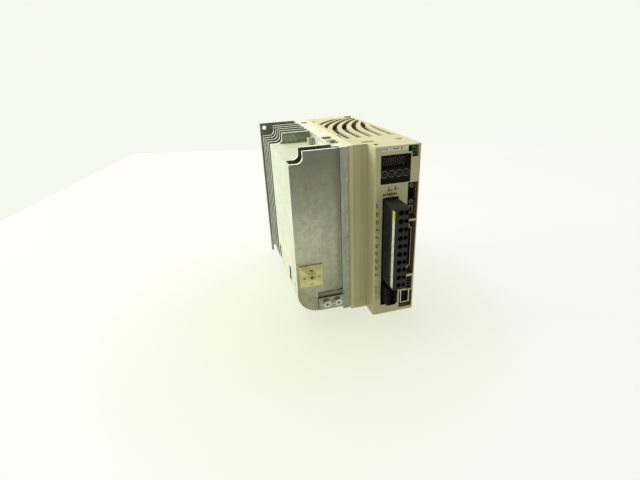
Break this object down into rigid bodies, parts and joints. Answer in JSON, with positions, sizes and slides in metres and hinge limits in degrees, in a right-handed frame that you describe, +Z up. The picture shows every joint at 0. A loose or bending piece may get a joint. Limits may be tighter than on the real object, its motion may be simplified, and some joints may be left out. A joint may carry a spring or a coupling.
{
  "type": "servo drive",
  "caption": "Panel-mounted servo drive: finned heat sink and sheet metal side box, vented plastic case, display with push buttons, pull-out terminal plugs and signal connectors.",
  "frame": {"origin": "centre of the four mounting positions, on the rear face of the mounting plate", "axes": "+Z up, +X to the right seen from the front, +Y into the cabinet wall, so the front faces -Y"},
  "size_m": [0.1114, 0.203, 0.1618],
  "materials": {
    "sheet_aluminium": "mill finish, satin",
    "cast_aluminium": "mottled satin with faint vertical streaks",
    "painted_sheet": "pale grey-green, satin",
    "cream_plastic": "yellowed, slightly glossy",
    "nickel": "plated, bright",
    "zinc_steel": "zinc plated",
    "beige_plastic": "fine grained, satin",
    "label": "printed film, satin",
    "black_plastic": "satin",
    "button_plastic": "satin with worn rim",
    "smoked_window": "dark tinted, polished",
    "segment": "unlit, diffuse",
    "circuit_board": "solder mask gloss",
    "tinned_brass": "tinned",
    "dark_grey_plastic": "satin",
    "green_plastic": "satin",
    "chip": "moulded epoxy",
    "thermal_pad": "soft, dull",
    "capacitor_sleeve": "shrink sleeve",
    "transformer_core": "yellow tape",
    "ferrite": "enamelled winding",
    "relay_plastic": "moulded",
    "ceramic": "glazed",
    "gold_anodised": "anodised"
  },
  "bodies": {
    "drive": {"mounting_plate": "sheet_aluminium", "plate_screws": "zinc_steel", "heat_sink": "cast_aluminium", "front_plate": "cast_aluminium", "side_cover": "painted_sheet", "tie_mount": "cream_plastic", "ground_block": "nickel", "ground_screws": "zinc_steel", "ground_washers": "zinc_steel", "standoff_post": "nickel", "retaining_clip": "zinc_steel", "main_case": "beige_plastic", "front_cover": "beige_plastic", "rating_label": "label", "name_label": "label", "display_bezel": "black_plastic", "display_window": "smoked_window", "digit_display": "black_plastic", "digit_segments": "segment", "display_board": "circuit_board", "tact_switches": "black_plastic", "terminal_header": "black_plastic", "header_pins": "tinned_brass", "terminal_board": "circuit_board", "io_socket": "black_plastic", "io_shell": "nickel", "encoder_socket": "black_plastic", "encoder_shell": "nickel", "serial_socket": "black_plastic", "serial_nuts": "nickel", "usb_socket": "nickel", "safety_socket": "dark_grey_plastic", "monitor_socket": "green_plastic", "control_board": "circuit_board", "processor": "chip", "logic_chips": "chip", "power_board": "circuit_board", "power_module": "chip", "rectifier_module": "chip", "thermal_pads": "thermal_pad", "bus_capacitors": "capacitor_sleeve", "transformer": "transformer_core", "choke": "ferrite", "relay": "relay_plastic", "current_sensors": "dark_grey_plastic", "fuse": "ceramic", "board_link": "black_plastic", "standoffs": "nickel", "m3_screws": "zinc_steel", "regen_resistor": "gold_anodised"},
    "mode_button": {"mode_button": "button_plastic"},
    "up_button": {"up_button": "button_plastic"},
    "down_button": {"down_button": "button_plastic"},
    "set_button": {"set_button": "button_plastic"},
    "power_plug": {"power_plug": "dark_grey_plastic", "plug_clamps": "zinc_steel", "plug_label": "label"},
    "motor_plug": {"motor_plug": "black_plastic", "motor_clamps": "zinc_steel"}
  },
  "joints": [
    {"name": "mode_press", "type": "slide", "parent": "drive", "child": "mode_button", "axis": [0, 1, 0], "range_m": [0, 0.0006], "stiffness_N_per_m": 1500, "springref_m": -0.0003},
    {"name": "up_press", "type": "slide", "parent": "drive", "child": "up_button", "axis": [0, 1, 0], "range_m": [0, 0.0006], "stiffness_N_per_m": 1500, "springref_m": -0.0003},
    {"name": "down_press", "type": "slide", "parent": "drive", "child": "down_button", "axis": [0, 1, 0], "range_m": [0, 0.0006], "stiffness_N_per_m": 1500, "springref_m": -0.0003},
    {"name": "set_press", "type": "slide", "parent": "drive", "child": "set_button", "axis": [0, 1, 0], "range_m": [0, 0.0006], "stiffness_N_per_m": 1500, "springref_m": -0.0003},
    {"name": "power_plug_pull", "type": "slide", "parent": "drive", "child": "power_plug", "axis": [0, -1, 0], "range_m": [0, 0.02]},
    {"name": "motor_plug_pull", "type": "slide", "parent": "drive", "child": "motor_plug", "axis": [0, -1, 0], "range_m": [0, 0.02]}
  ]
}
